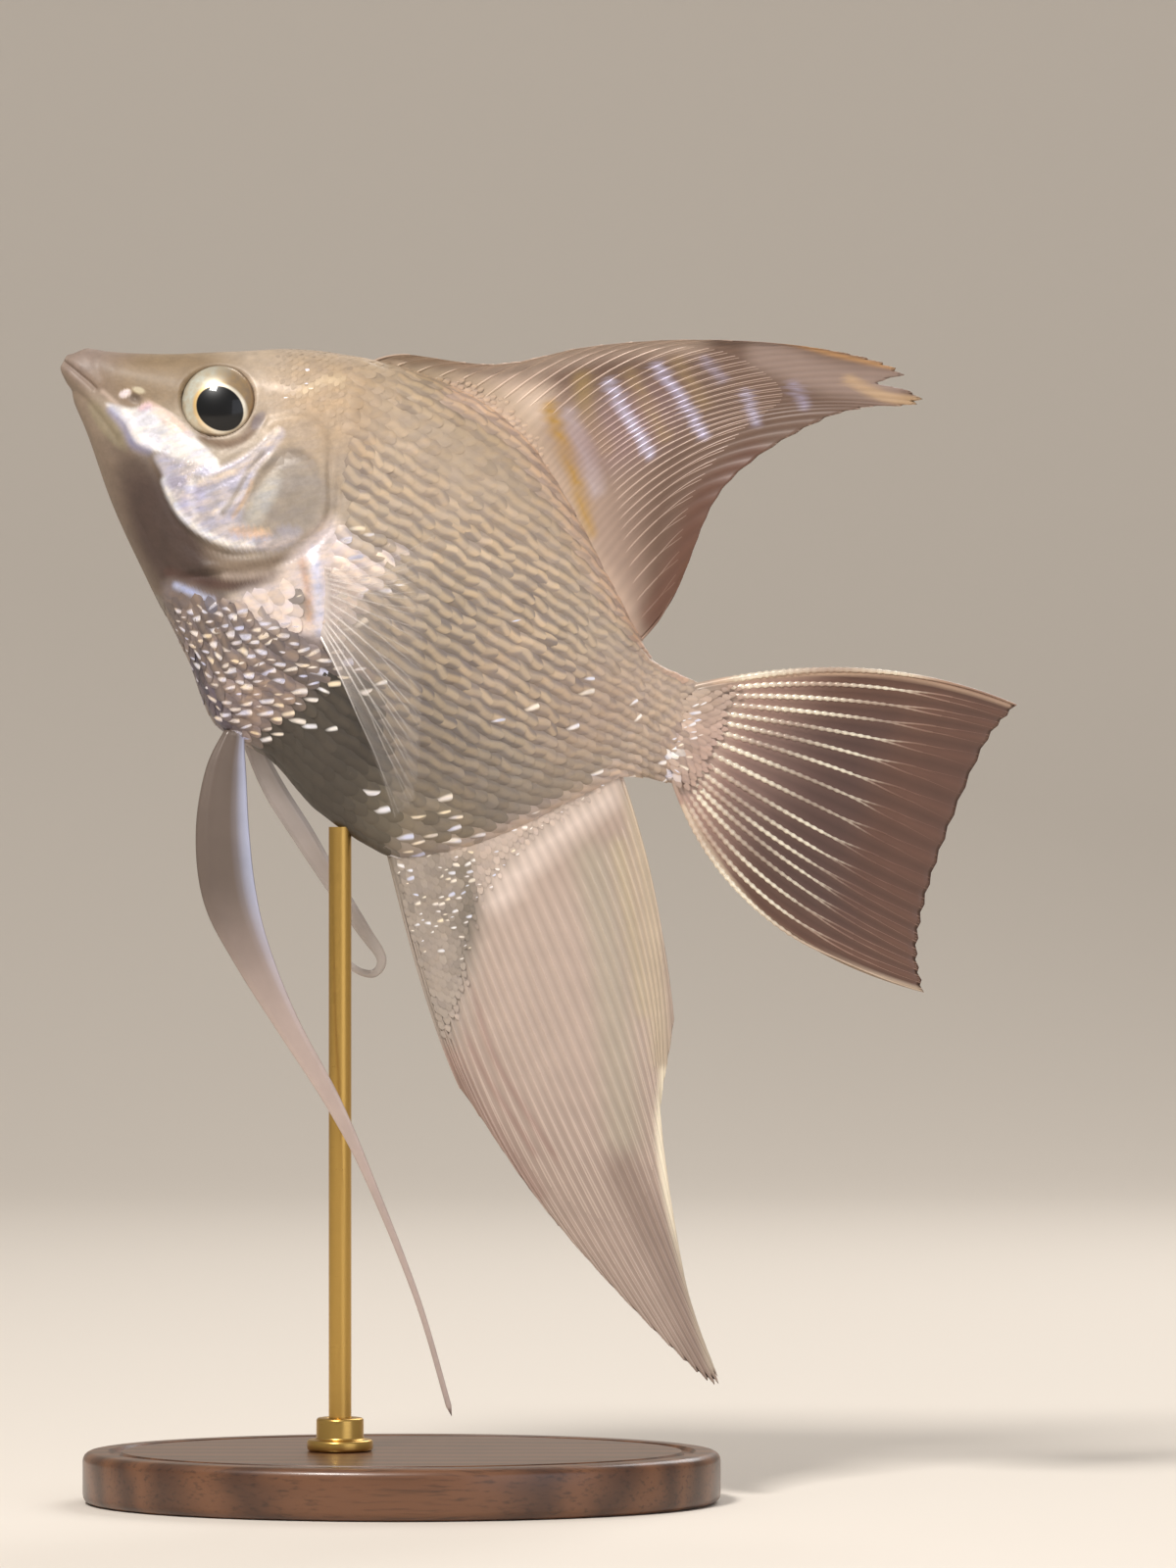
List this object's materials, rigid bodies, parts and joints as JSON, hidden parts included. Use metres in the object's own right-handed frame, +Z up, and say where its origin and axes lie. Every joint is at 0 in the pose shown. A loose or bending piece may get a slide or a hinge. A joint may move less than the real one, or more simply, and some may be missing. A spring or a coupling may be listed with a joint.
{
  "type": "freshwater angelfish model",
  "caption": "Life-size still model of a pale pearly freshwater angelfish, nose-up in mid-swim, held over an oval foot by a slim rod.",
  "frame": {"origin": "centre of the underside of the stand's foot", "axes": "+Z up, the fish faces -X and is pitched nose-up about Y, its left side faces -Y"},
  "size_m": [0.093, 0.044, 0.1129],
  "materials": {
    "pearl_skin": "pearly scaled skin, satin to glossy",
    "eye": "wet glossy eye, silver ring and black pupil",
    "fin_membrane": "thin translucent membrane over fine rays",
    "stand_wood": "satin lacquer",
    "stand_brass": "brushed satin"
  },
  "bodies": {
    "root": {"head": "pearl_skin", "jaw_upper": "pearl_skin", "jaw_lower": "pearl_skin", "gill_cover_left": "pearl_skin", "gill_cover_right": "pearl_skin", "trunk": "pearl_skin", "tail_stalk": "pearl_skin", "eye_left": "eye", "eye_right": "eye", "fin_dorsal": "fin_membrane", "fin_anal": "fin_membrane", "fin_tail": "fin_membrane", "fin_pectoral_left": "fin_membrane", "fin_pectoral_right": "fin_membrane", "fin_pelvic_left": "fin_membrane", "fin_pelvic_right": "fin_membrane", "stand_base": "stand_wood", "stand_collar": "stand_brass", "stand_rod": "stand_brass"}
  },
  "joints": []
}
